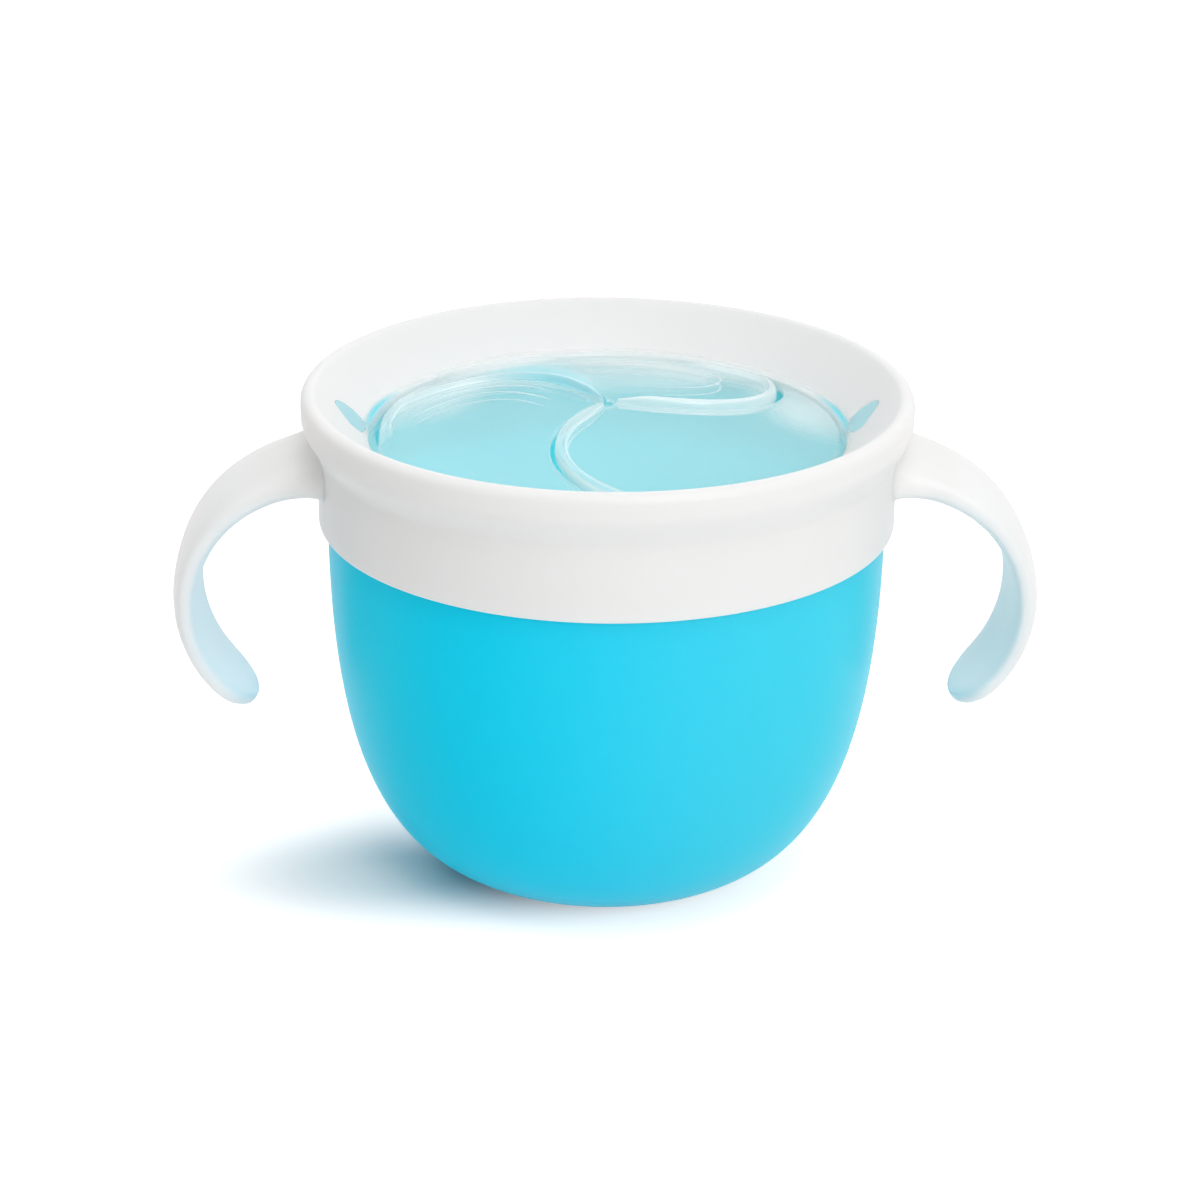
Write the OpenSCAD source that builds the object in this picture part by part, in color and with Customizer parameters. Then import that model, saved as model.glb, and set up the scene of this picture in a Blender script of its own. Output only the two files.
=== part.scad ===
// Toddler snack container: a rounded cup, a push-on lid collar with two hook
// handles, and a clear soft insert whose three spiral flaps let a hand in and
// keep the snacks from falling out.
// Millimetres, +Z up, origin on the floor at the middle of the cup's foot.

/* [Cup] */
// Outer radius of the bowl just under the lid
cup_r = 42.7; // [38:0.5:48]
// Height of the shoulder that the lid rests on
shoulder_z = 56.6; // [48:0.2:66]
// Height of the bowl's widest level above the shoulder
belly_up = 3.6; // [2:0.2:6]
// Squareness of the bowl's belly
belly_power = 4.2; // [3:0.1:5]
// How late the bowl turns in towards its foot
turn_power = 2.55; // [2:0.05:3]
// Height at which the flat foot cuts the round bottom
foot_cut = 0.9; // [0.6:0.1:1.5]
// Wall of the bowl
cup_wall = 1.6; // [1.2:0.1:2.4]
// Floor of the bowl
cup_floor = 2; // [1.4:0.1:3]
// Height of the neck above the shoulder
neck_h = 13.4; // [11:0.2:14]
// Step in from the bowl to the neck
neck_step = 0.8; // [0.5:0.1:1.2]
// Height of the snap bead above the shoulder
snap_z = 8; // [5:0.5:9]
// How far the snap bead stands out of the neck
snap_out = 0.12; // [0.06:0.02:0.14]
// Height of the snap bead
snap_h = 1.6; // [1.2:0.1:2]

/* [Lid collar] */
// Wall of the collar
collar_wall = 1.95; // [1.4:0.05:2.6]
// Radial clearance between the neck and the collar
lid_gap = 0.2; // [0.16:0.02:0.4]
// Height of the collar from its bottom edge to the top of the rim
collar_h = 20.4; // [19.6:0.2:26]
// How far the rim stands out past the collar
rim_out = 2.4; // [1:0.2:4]
// Rounding of the rim's top edge
rim_round = 1.45; // [1:0.05:1.6]
// Height of the rim's upright outer band
rim_band = 2; // [1:0.25:3]
// Height of the cove between the rim and the collar
cove_h = 6; // [4:0.5:8]
// How far the funnel's lower lip stands in from the bowl's outer radius
funnel_in = 6.3; // [5.5:0.1:8]
// Drop from the top of the rim to the funnel's lip
funnel_drop = 7.1; // [6.2:0.1:8]
// Wall of the funnel
funnel_wall = 1.7; // [1.2:0.1:2]
// Bevel in the corner under the funnel
corner_bevel = 0.8; // [0.4:0.1:1.2]
// Bevel of the collar's bottom edge
edge_bevel = 0.5; // [0.2:0.1:0.8]
// Radius of the round head of each key window
window_r = 1.5; // [0.8:0.1:1.8]
// Length of each key window
window_len = 7; // [4:0.5:10]
// Distance of a key window's head out from the funnel's lip
window_out = 2.6; // [1.8:0.1:3.2]
// Distance of that head behind the handles' middle line
window_back = 1.4; // [0:0.2:4]
// Lean of a key window towards the handle, in degrees
window_lean = 14; // [0:1:20]

/* [Handles] */
// Drop from the top of the rim to the handle's centre line
handle_drop = 12.45; // [11.5:0.1:15]
// Radius of the handle's centre line
handle_arc_r = 20.4; // [16:0.2:26]
// Turn of the hook from its root to its tip, in degrees
handle_turn = 150; // [110:1:165]
// Width at the root
handle_root_w = 19; // [12:0.5:24]
// Width at the middle
handle_mid_w = 20.4; // [12:0.5:24]
// Width at the tip
handle_tip_w = 15.6; // [10:0.5:22]
// Thickness at the root
handle_root_t = 6.6; // [4:0.2:8]
// Thickness at the middle
handle_mid_t = 4.3; // [3:0.1:6]
// Thickness at the tip
handle_tip_t = 3.4; // [2.6:0.1:5]

/* [Soft insert] */
// Width of the clear ring inside the funnel's lip
ring_w = 1.2; // [0.8:0.1:2]
// Reach of the ring's skin over the funnel
skin_reach = 3; // [1.5:0.25:4]
// Thickness of that skin
skin_t = 0.5; // [0.3:0.05:0.8]
// Reach of the ring's flange under the funnel
flange_reach = 2.2; // [1.5:0.1:2.6]
// Thickness of that flange
flange_t = 1.1; // [0.8:0.1:1.5]
// Clearance of the moulded channel round the lip
mould_gap = 0.05; // [0.02:0.01:0.1]
// Rise of the flaps' dome from its edge to its middle
dome_rise = 5; // [2:0.25:8]
// Thickness of the flaps
flap_t = 1.2; // [0.8:0.1:1.6]
// Gap of the slits between the flaps
slit_gap = 0.3; // [0.2:0.05:0.8]
// Gap along each flap's hinge line
hinge_gap = 0.9; // [0.8:0.1:1.6]
// Turn of a slit from the middle to the edge, in degrees
slit_turn = 50; // [35:1:60]
// How late a slit starts to turn
slit_power = 2.2; // [1.8:0.1:3]
// Stretch of a slit along the edge, in degrees
slit_tail = 25; // [10:1:32]
// Width of the rib along each free edge
rib_w = 1.7; // [1:0.1:2.5]
// Height of that rib above the flap
rib_h = 0.8; // [0.3:0.1:1.2]
// Radius of the round hole that ends each slit
slit_end_r = 0.7; // [0.4:0.05:0.9]

/* [Hidden] */

$fn = 128;
// Steps along the bowl's wall, along a handle, round a handle and along a slit
WALL_STEPS = 26;
HANDLE_STEPS = 30;
HANDLE_SIDES = 24;
SLIT_STEPS = 14;
// Steps along a flap's edge, along the cove and round the rim
EDGE_STEPS = 8;
COVE_STEPS = 12;
RIM_STEPS = 14;
// Squareness of a handle's section
HANDLE_SQUARE = 2.6;
// Share of a handle over which its tip is rounded off
TIP_SHARE = 0.12;
// How deep a handle's sweep starts inside the collar before it is trimmed
ROOT_SINK = 1;
// Number of flaps, and the angle at which the left flap's slit leaves the middle
FLAPS = 3;
FIRST_SLIT = 110;
FLAP_STEP = 360 / FLAPS;
// Shares of the radius at which a slit starts and ends
SLIT_START = 0.05;
SLIT_END = 0.97;

neck_r = cup_r - neck_step;
neck_top = shoulder_z + neck_h;
belly_z = shoulder_z + belly_up;
bowl_h = belly_z + foot_cut;
collar_in_r = neck_r + lid_gap;
collar_r = collar_in_r + collar_wall;
rim_top = shoulder_z + collar_h;
rim_r = collar_r + rim_out;
funnel_r = cup_r - funnel_in;
crest_r = rim_r - rim_round;
lip_z = rim_top - funnel_drop;
crest_z = rim_top - rim_round;
lip_to_crest = [crest_r - funnel_r, crest_z - lip_z];
funnel_angle = atan2(lip_to_crest[1], lip_to_crest[0]) + asin(rim_round / norm(lip_to_crest));
funnel_slope = tan(funnel_angle);
funnel_drop_wall = funnel_wall * sqrt(1 + pow(funnel_slope, 2));
flap_r = funnel_r - ring_w;
hub_z = lip_z + dome_rise;
dome_r = (pow(flap_r, 2) + pow(dome_rise, 2)) / (2 * dome_rise);
dome_z = hub_z - dome_r;
handle_z = rim_top - handle_drop;
// How far a flap's inner hinge corner is cut back to clear the next flap
corner_trim = 1.1 * hinge_gap;
// Level and height of the upright prisms that cut the insert and the windows
cut_z = lip_z - 1.5 * dome_rise;
cut_h = 3.5 * dome_rise;

function funnel_top(r) = lip_z + (r - funnel_r) * funnel_slope;
function funnel_under(r) = funnel_top(r) - funnel_drop_wall;

// ---- Cup ----

// Radius of a bowl of radius r and depth h, a share w of the way down
function bowl_radius(r, w) = r * pow(max(0, 1 - pow(w, turn_power)), 1 / belly_power);

// Points down a bowl's wall, from its widest place to the level z_end
function bowl_wall(r, h, z_end) =
    let (last = asin((belly_z - z_end) / h))
    [for (i = [0 : WALL_STEPS])
        let (w = sin(last * i / WALL_STEPS))
        [bowl_radius(r, w), belly_z - h * w]];

module cup_section() {
    outside = bowl_wall(cup_r, bowl_h, 0);
    inside = bowl_wall(cup_r - cup_wall, bowl_h - cup_floor - foot_cut, 1.1 * cup_floor);
    top_in = neck_r - cup_wall;
    difference() {
        polygon(concat(
            [[0, 0]],
            [for (i = [WALL_STEPS : -1 : 0]) if (outside[i][1] < shoulder_z) outside[i]],
            [[cup_r, shoulder_z], [neck_r, shoulder_z], [neck_r, neck_top - cup_wall / 2]],
            [[neck_r - cup_wall / 3, neck_top], [top_in, neck_top], [0, neck_top]]));
        polygon(concat(
            [[0, cup_floor]],
            [[inside[WALL_STEPS][0], cup_floor]],
            [for (i = [WALL_STEPS : -1 : 0]) if (inside[i][1] < shoulder_z - cup_wall) inside[i]],
            [[top_in, shoulder_z + cup_wall / 3], [top_in, neck_top + cup_wall], [0, neck_top + cup_wall]]));
    }
    // snap bead
    translate([neck_r, shoulder_z + snap_z])
        polygon([
            [-cup_wall / 4, -snap_h / 2],
            [snap_out, -snap_h / 6],
            [snap_out, snap_h / 6],
            [-cup_wall / 4, snap_h / 2]]);
}

module cup() {
    color("deepskyblue")
        rotate_extrude() cup_section();
}

// ---- Lid collar ----

// Outer face of the rim and its cove, a smooth S from the band to the collar
function cove_points() =
    let (top = crest_z - rim_band)
    [for (i = [0 : COVE_STEPS])
        let (t = i / COVE_STEPS)
        [collar_r + rim_out * (1 + cos(180 * t)) / 2, top - cove_h * t]];

// Round top of the rim, from where the funnel leaves it to its upright band
function rim_points() =
    let (sweep = 90 + funnel_angle)
    [for (i = [RIM_STEPS : -1 : 0])
        [crest_r, crest_z] + rim_round * [cos(sweep * i / RIM_STEPS), sin(sweep * i / RIM_STEPS)]];

module collar_section() {
    groove = shoulder_z + snap_z;
    groove_half = snap_h / 2 + 1.5 * lid_gap;
    groove_r = collar_in_r + lid_gap;
    bevel_r = collar_in_r - corner_bevel;
    polygon(concat(
        [[collar_in_r, shoulder_z]],
        // groove that the cup's snap bead rests in
        [[collar_in_r, groove - groove_half], [groove_r, groove - snap_h / 4]],
        [[groove_r, groove + snap_h / 4], [collar_in_r, groove + groove_half]],
        [[collar_in_r, funnel_under(bevel_r) - 0.75 * corner_bevel], [bevel_r, funnel_under(bevel_r)]],
        [[funnel_r, funnel_under(funnel_r)], [funnel_r, lip_z]],
        rim_points(),
        cove_points(),
        [[collar_r, shoulder_z + edge_bevel], [collar_r - edge_bevel, shoulder_z]]));
}

// Outline of a key window: a round head with a narrowing tail, seen from above
module window_outline() {
    tail_r = 0.45 * window_r;
    tail_y = window_r + tail_r - window_len;
    circle(window_r, $fn = 36);
    translate([0, tail_y]) circle(tail_r, $fn = 36);
    polygon([[window_r, 0], [tail_r, tail_y], [-tail_r, tail_y], [-window_r, 0]]);
}

// Both key windows, one beside each handle, as upright prisms
module window_prisms() {
    for (side = [0, 1])
        mirror([side, 0, 0])
            translate([funnel_r + window_out, window_back, lip_z - funnel_drop])
                rotate(-window_lean)
                    linear_extrude(2 * funnel_drop) window_outline();
}

module lid_collar() {
    color("white")
        difference() {
            rotate_extrude() collar_section();
            window_prisms();
        }
}

// ---- Handles ----

// Size that goes from its root value over its middle value to its tip value
function along(root, mid, tip, t) =
    t < 0.5 ? root + (mid - root) * 2 * t : mid + (tip - mid) * (2 * t - 1);
function square_cos(a) = sign(cos(a)) * pow(abs(cos(a)), 2 / HANDLE_SQUARE);
function square_sin(a) = sign(sin(a)) * pow(abs(sin(a)), 2 / HANDLE_SQUARE);
// How much of its section the handle still has near its rounded tip
function tip_share(t) =
    t < 1 - TIP_SHARE ? 1 : sqrt(max(0.02, 1 - pow((t - 1 + TIP_SHARE) / TIP_SHARE, 2)));

// One ring of the hook's sweep, a share t of the way from the root to the tip
function handle_ring(t) =
    let (
        turn = handle_turn * t,
        half_w = along(handle_root_w, handle_mid_w, handle_tip_w, t) / 2 * tip_share(t),
        half_t = along(handle_root_t, handle_mid_t, handle_tip_t, t) / 2 * sqrt(tip_share(t)),
        lead = t == 0 ? -ROOT_SINK : 0
    )
    [for (i = [0 : HANDLE_SIDES - 1])
        let (
            a = 360 * i / HANDLE_SIDES,
            r = handle_arc_r + half_t * square_sin(a)
        )
        [collar_r + lead + r * sin(turn), half_w * square_cos(a), handle_z - handle_arc_r + r * cos(turn)]];

module hook() {
    n = HANDLE_SIDES;
    rings = [for (k = [0 : HANDLE_STEPS]) handle_ring(k / HANDLE_STEPS)];
    points = [for (ring = rings) each ring];
    last = HANDLE_STEPS * n;
    skin = [for (k = [0 : HANDLE_STEPS - 1]) for (i = [0 : n - 1])
        let (a = k * n + i, b = k * n + (i + 1) % n)
        each [[a, a + n, b + n], [a, b + n, b]]];
    root_cap = [for (i = [1 : n - 2]) [0, i, i + 1]];
    tip_cap = [for (i = [1 : n - 2]) [last, last + i + 1, last + i]];
    difference() {
        polyhedron(points, concat(skin, root_cap, tip_cap));
        cylinder(r = collar_r, h = rim_top);
    }
}

module right_handle() {
    color("white") hook();
}

module left_handle() {
    color("white") mirror([1, 0, 0]) hook();
}

// ---- Soft insert ----

// Angle of a slit at a share p of the way from the middle to the edge
function slit_angle(p) = slit_turn * pow(p, slit_power);
// Unit vector across a slit, towards its counter-clockwise side
function slit_across(p) =
    let (
        swirl = p * slit_turn * slit_power * pow(p, slit_power - 1) * PI / 180,
        a = slit_angle(p) + atan(swirl)
    )
    [-sin(a), cos(a)];
// Point of a slit that leaves the middle along +X, moved by side across it
function slit_point(p, side) =
    flap_r * p * [cos(slit_angle(p)), sin(slit_angle(p))] + side * slit_across(p);
function turned(v, a) = [v[0] * cos(a) - v[1] * sin(a), v[0] * sin(a) + v[1] * cos(a)];
function slit_side(from, to, side, a) =
    [for (i = [0 : SLIT_STEPS])
        turned(slit_point(from + (to - from) * i / SLIT_STEPS, side), a)];
function edge_arc(r, from, to) =
    [for (i = [0 : EDGE_STEPS])
        let (a = from + (to - from) * i / EDGE_STEPS)
        r * [cos(a), sin(a)]];

// Share of the radius at which the next slit meets the hinge line
hinge_p = 0.5;
hinge_out_a = slit_turn + slit_tail;
hinge_out = flap_r * [cos(hinge_out_a), sin(hinge_out_a)];
hinge_in = turned(slit_point(hinge_p, 0), FLAP_STEP);
hinge_dir = (hinge_in - hinge_out) / norm(hinge_in - hinge_out);
// Unit vector across the hinge line, towards the middle of the insert
hinge_across = [-hinge_dir[1], hinge_dir[0]];

// Dome shell between two heights above the flaps' lower face
module dome(low, high) {
    rotate_extrude()
        intersection() {
            translate([0, dome_z])
                difference() {
                    circle(dome_r - flap_t + high, $fn = 720);
                    circle(dome_r - flap_t + low, $fn = 720);
                }
            translate([0, cut_z]) square([flap_r + ring_w / 2, cut_h]);
        }
}

// Outline of one flap inside its slits and its hinge line, its slit along +X
module flap_outline() {
    half = slit_gap / 2;
    shift = hinge_across * hinge_gap / 2;
    r = flap_r - slit_gap;
    polygon(concat(
        slit_side(SLIT_START, SLIT_END, half, 0),
        edge_arc(r, slit_turn + 1, hinge_out_a - 2),
        [hinge_out + shift, hinge_in + shift - corner_trim * hinge_dir],
        slit_side(hinge_p - 0.05, SLIT_START, -half, FLAP_STEP)));
}

// Outline of the fixed root behind one flap's hinge line
module root_outline() {
    half = slit_gap / 2;
    shift = -hinge_across * hinge_gap / 2;
    polygon(concat(
        [hinge_in + shift],
        slit_side(hinge_p + 0.04, SLIT_END, -half, FLAP_STEP),
        edge_arc(flap_r + 0.4 * ring_w, FLAP_STEP + slit_turn - 2, hinge_out_a + 2),
        [hinge_out + shift]));
}

// Band along the free edge of one flap
module rib_outline() {
    half = slit_gap / 2;
    r = flap_r - slit_gap;
    polygon(concat(
        slit_side(SLIT_START + 0.01, SLIT_END, half, 0),
        edge_arc(r, slit_turn + 1, hinge_out_a - 8),
        edge_arc(r - rib_w, hinge_out_a - 8, slit_turn + 2),
        slit_side(SLIT_END - 0.05, SLIT_START + 0.01, half + rib_w, 0)));
}

module flap(index) {
    color("lightcyan", 0.5)
        rotate(FIRST_SLIT + index * FLAP_STEP) {
            intersection() {
                dome(0, flap_t);
                translate([0, 0, cut_z]) linear_extrude(cut_h) flap_outline();
            }
            intersection() {
                dome(flap_t / 2, flap_t + rib_h);
                translate([0, 0, cut_z]) linear_extrude(cut_h) rib_outline();
            }
        }
}

module ring_section() {
    out = funnel_r + skin_reach;
    under = funnel_r + flange_reach;
    gap = mould_gap;
    polygon([
        [flap_r, lip_z],
        [flap_r + ring_w / 4, lip_z + skin_t],
        [funnel_r, lip_z + skin_t + gap],
        [out, funnel_top(out) + gap + 0.3 * skin_t],
        [out, funnel_top(out) + gap],
        [funnel_r - gap, lip_z + gap],
        [funnel_r - gap, funnel_under(funnel_r) - gap],
        [under, funnel_under(under) - gap],
        [under, funnel_under(under) - gap - flange_t],
        [funnel_r, funnel_under(funnel_r) - gap - flange_t],
        [flap_r, lip_z - flap_t]]);
}

module flap_ring() {
    color("lightcyan", 0.5)
        difference() {
            union() {
                rotate_extrude() ring_section();
                for (k = [0 : FLAPS - 1])
                    rotate(FIRST_SLIT + k * FLAP_STEP)
                        intersection() {
                            dome(0, flap_t);
                            translate([0, 0, cut_z]) linear_extrude(cut_h) root_outline();
                        }
            }
            for (k = [0 : FLAPS - 1])
                rotate(FIRST_SLIT + hinge_out_a + k * FLAP_STEP)
                    translate([flap_r, 0, cut_z])
                        cylinder(r = slit_end_r, h = cut_h, $fn = 24);
        }
}

module flap_left() {
    flap(0);
}

module flap_right() {
    flap(1);
}

module flap_back() {
    flap(2);
}

cup();
lid_collar();
left_handle();
right_handle();
flap_ring();
flap_left();
flap_right();
flap_back();
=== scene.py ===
"""Dresses the toddler snack container: blue cup, white lid with hook handles, clear flaps."""
import math

import bmesh
import bpy
from mathutils import Matrix, Vector


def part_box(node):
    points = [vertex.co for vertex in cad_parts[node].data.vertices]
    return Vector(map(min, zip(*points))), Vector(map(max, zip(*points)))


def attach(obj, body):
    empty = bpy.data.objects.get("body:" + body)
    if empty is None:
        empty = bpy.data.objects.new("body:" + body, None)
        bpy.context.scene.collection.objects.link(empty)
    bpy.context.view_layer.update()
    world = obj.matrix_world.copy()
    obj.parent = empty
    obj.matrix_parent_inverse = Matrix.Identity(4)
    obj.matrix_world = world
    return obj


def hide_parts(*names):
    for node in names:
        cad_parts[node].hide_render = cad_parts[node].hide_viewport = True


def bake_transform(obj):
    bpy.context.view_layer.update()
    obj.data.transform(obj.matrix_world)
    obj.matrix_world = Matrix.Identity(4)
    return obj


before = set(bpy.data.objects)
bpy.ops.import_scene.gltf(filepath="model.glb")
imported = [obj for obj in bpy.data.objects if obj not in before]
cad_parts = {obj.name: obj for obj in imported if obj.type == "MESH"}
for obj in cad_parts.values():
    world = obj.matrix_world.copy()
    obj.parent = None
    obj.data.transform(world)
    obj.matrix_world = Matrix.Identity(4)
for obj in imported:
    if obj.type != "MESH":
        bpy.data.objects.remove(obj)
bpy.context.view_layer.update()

MM = 0.001
SAME_PLACE = 1e-7
SHARP = math.radians(40)

# ---- Cup sizes, in metres, from the frame where it has them ----

CUP_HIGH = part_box("cup")[1]
LID_LOW, LID_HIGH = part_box("lid_collar")
CUP_R = CUP_HIGH[0]
NECK_TOP = CUP_HIGH[2]
SHOULDER_Z = LID_LOW[2]
CUP_WALL = 1.6 * MM
CUP_FLOOR = 2.0 * MM
NECK_STEP = 0.8 * MM
BELLY_Z = SHOULDER_Z + 3.6 * MM
FOOT_CUT = 0.9 * MM
BELLY_POWER = 4.2
TURN_POWER = 2.55
FOOT_ROUND = 1.5 * MM
SHOULDER_ROUND = 0.7 * MM
SHOULDER_UNDER = 0.8 * MM
NECK_ROUND = 0.6 * MM
NECK_FILLET = 0.1 * MM
NECK_INSIDE_END = 0.5 * MM
BOWL_INSIDE_END = 1.5 * MM
BOWL_FLOOR_END = 0.2 * MM
LEVEL_NORMAL = 0.5
SNAP_Z = SHOULDER_Z + 8 * MM
SNAP_HALF = 0.8 * MM
SNAP_FLAT = 0.2 * MM
SNAP_OUT = 0.12 * MM

# ---- Collar sizes ----

RIM_TOP = LID_HIGH[2]
RIM_R = LID_HIGH[0]
RIM_OUT = 2.4 * MM
RIM_ROUND = 1.45 * MM
RIM_BAND = 2.0 * MM
COVE_H = 6.0 * MM
COLLAR_R = RIM_R - RIM_OUT
COLLAR_WALL = 1.95 * MM
COLLAR_IN_R = COLLAR_R - COLLAR_WALL
COLLAR_FOOT = 0.6 * MM
COLLAR_ROUND = 0.5 * MM
GROOVE_HALF = 1.1 * MM
GROOVE_FLAT = 0.4 * MM
GROOVE_DEPTH = 0.2 * MM
FINE_ROUND = 0.3 * MM
FUNNEL_R = 36.4 * MM
FUNNEL_WALL = 1.7 * MM
FUNNEL_ROOT = 0.8 * MM
FUNNEL_DROP = 0.6 * MM
LIP_Z = RIM_TOP - 7.1 * MM
LIP_ROUND = 0.4 * MM
CREST_R = RIM_R - RIM_ROUND
CREST_Z = RIM_TOP - RIM_ROUND
LIP_TO_CREST = Vector((CREST_R - FUNNEL_R, CREST_Z - LIP_Z))
FUNNEL_ANGLE = math.atan2(LIP_TO_CREST.y, LIP_TO_CREST.x) + math.asin(RIM_ROUND / LIP_TO_CREST.length)
FUNNEL_SLOPE = math.tan(FUNNEL_ANGLE)
CREST_STEPS = 20
COVE_STEPS = 24

WINDOW_R = 2.4 * MM
WINDOW_TAIL_R = 0.45 * WINDOW_R
WINDOW_LEN = 7.0 * MM
WINDOW_OUT = 2.6 * MM
WINDOW_BACK = 1.4 * MM
WINDOW_LEAN = math.radians(14)
CUTTER_HALF = 7 * MM

# ---- Handle sizes: widths and thicknesses at the root, the middle and the tip ----

HANDLE_Z = RIM_TOP - 12.45 * MM
HANDLE_ARC_R = 20.4 * MM
HANDLE_TURN = math.radians(150)
HANDLE_WIDTHS = (19 * MM, 20.4 * MM, 15.6 * MM)
HANDLE_THICKNESSES = (5.5 * MM, 4.3 * MM, 3.4 * MM)
HANDLE_TIP_SHARE = 0.12
HANDLE_HOLLOW = 0.25 * MM
HOLLOW_FULL = 0.25
BACK_POWER = 2.4
FRONT_POWER = 3.4
ROOT_FLARE_SIDE = (6 * MM, 2.4 * MM)
ROOT_FLARE_TOP = (13 * MM, 3.2 * MM)
ROOT_FLARE_UNDER = (0.8 * MM, 0.3 * MM)
ROOT_SINK = 0.15 * MM
HUG_REACH = 7 * MM
HUG_POWER = 1.5
HOOK_SIDES = 48
FILLET_RINGS = 18
BODY_RINGS = 60
TIP_RINGS = 14

# ---- Clear insert sizes ----

RING_W = 1.2 * MM
RING_GAP = 0.05 * MM
RING_SKIN = 0.5 * MM
RING_LEAN = 0.3 * MM
RING_OVER = 0.1 * MM
RING_GRIP = 0.15 * MM
SOFT_ROUND = 0.2 * MM
SKIN_REACH = 1.0 * MM
FLANGE_REACH = 2.2 * MM
FLANGE_T = 1.1 * MM
PLUG_FIT = 0.97
PLUG_RISE = 0.4 * MM
PLUG_SUNK = 0.04 * MM

FLAP_R = FUNNEL_R - RING_W
FLAP_T = 1.2 * MM
DOME_RISE = 5.0 * MM
DOME_R = (FLAP_R ** 2 + DOME_RISE ** 2) / (2 * DOME_RISE)
DOME_Z = LIP_Z + DOME_RISE - DOME_R
FIRST_SLIT = math.radians(110)
FLAP_STEP = math.radians(120)
SLIT_GAP = 0.45 * MM
SLIT_TURN = math.radians(50)
SLIT_POWER = 2.2
SLIT_TAIL = math.radians(25)
TAIL_BLEND = math.radians(4)
INSET_MOST = 0.3 * FLAP_STEP
RIB_W = 1.7 * MM
RIB_H = 0.8 * MM
RIB_UNDER = 0.4
RIB_BORDER = 0.55 * MM
RIB_TAPER = 0.16
RIDGE_PLACES = (3.4 * MM, 6.0 * MM, 9.2 * MM)
RIDGE_W = 1.0 * MM
RIDGE_H = 0.1 * MM
RIDGE_START = 0.2
RIDGE_FADE_IN = 0.15
RIDGE_END = 0.92
RIDGE_FADE_OUT = 0.12
ROOT_LIP_W = 0.7 * MM
EDGE_ROUND = 0.45 * MM

FLAP_ROWS = 72
HUB_SHARE = 0.03
ROW_CROWDING = 1.35
RIB_LINES = 14
RIB_CROWDING = 1.5
BORDER_LINES = 4
RIDGE_LINES = 3
WEB_LINES = 24
WEB_LEAST = 4 * MM
LIP_LINES = 6
LIP_CROWDING = 1.4

# ---- Where the clear insert is milky or carries painted highlights and reflections, and where the cup's blue is painted on it ----

# The window plugs are milky and carry painted blue for the cup seen through them.
PLUG_MARKS = (0.7, 0.5)
RING_HAZE = 0.2
WEB_HAZE = 0.18
# Rib borders and ridges get painted highlights: milky lines standing for glints on the clear edges.
RIB_EDGE_GLINT = 0.65
RIB_SIDE_GLINT = 0.55
RIDGE_GLINT = 0.6
ROOT_LIP_HAZE = 0.35
ROOT_HAZE_START = 0.12
ROOT_HAZE_RUN = 0.2
PAST_RIDGES = 2 * MM
# Each pad is a painted reflection: the angle of its middle, half its spread, the share of the radius it
# starts at, its white haze, its painted cup blue.
SHEEN_PADS = (
    (math.radians(74), math.radians(36), 0.5, 0.28, 0.0),
    (math.radians(119), math.radians(20), -0.1, 0.45, 0.75),
    (math.radians(157), math.radians(24), 0.5, 0.2, 0.0),
    (math.radians(16), math.radians(24), 0.62, 0.3, 0.0),
)
PAD_FADE = 0.5
PAD_POWER = 0.4
PAD_BLUE_END = 0.75
# Two thin lines at the rim's left and right are the cup's blue painted on as a reflection.
BLUE_GLINT_ANGLES = (math.radians(167), math.radians(10))
BLUE_GLINT_HALF = math.radians(17)
BLUE_GLINT_POWER = 0.5
BLUE_GLINT_OUT = 0.1 * MM
BLUE_GLINT_W = 1.0 * MM
BLUE_GLINT_LOW = 0.2 * MM
BLUE_GLINT_HAZE = 0.85

# ---- Colours, floor and light ----

# The cup's blue turns paler from -X to +X across this half-width: painted sheen on its lit side.
CUP_SHEEN_FADE = 25 * MM
CLOUD_SHARE = 0.15
OUTSIDE_BLUES_TO_SHEEN = ((0.0, 0.7, 0.98), (0.06, 0.68, 0.86))
# The inside's paler blue and its glow are painted light, for light that comes in through the flaps and the
# walls.
INSIDE_BLUES_PAINTED_LIGHT = ((0.32, 0.86, 0.93), (0.34, 0.88, 0.94))
HANDLE_FADE = (50 * MM, 58 * MM)
LID_SCATTER = (1 * MM, 6 * MM)

FLOOR_HALF = 3.0
# The floor's glow is painted light: it whitens the floor outside an oval of painted shadow at the cup's
# left front, and a share of it lights the cup from below as painted bounce.
FLOOR_PAINTED_GLOW = 0.62
FLOOR_PAINTED_BOUNCE = 0.15
PAINTED_SHADOW_PLACE = (-0.033, -0.01)
PAINTED_SHADOW_NARROW = 2
PAINTED_SHADOW_FADE = (0.008, 0.052)
BACKDROP_AIM = Vector((0.1, 0.9, 0.42)).normalized()
BACKDROP_EDGE = (0.1, 0.9)
SURROUND = (0.24, 1.1)
LAMP_AIM = Vector((0, 0, 0.04))
# Each lamp: name, place, size and power.
LAMPS = (
    ("top", (0.1, -0.5, 1.1), 0.6, 3.4),
    ("key_right", (0.66, -1.0, 0.66), 0.8, 4.3),
    ("key_front", (0.35, -1.15, 0.7), 0.8, 2.2),
    ("fill_left", (-0.6, 0.1, 1.0), 0.8, 1.3),
)


# ---- Mesh helpers ----

def share_of(value):
    """The value, kept between 0 and 1."""
    return min(1.0, max(0.0, value))


def bell(distance, width):
    """Smooth bump, 1 at no distance and 0 from half its width on."""
    t = min(1.0, abs(distance) / (width / 2))
    return (1 + math.cos(math.pi * t)) / 2


def angle_off(x, y, middle):
    """Angle between a place seen from the axis and a direction."""
    return abs((math.atan2(y, x) - middle + math.pi) % (2 * math.pi) - math.pi)


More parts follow.
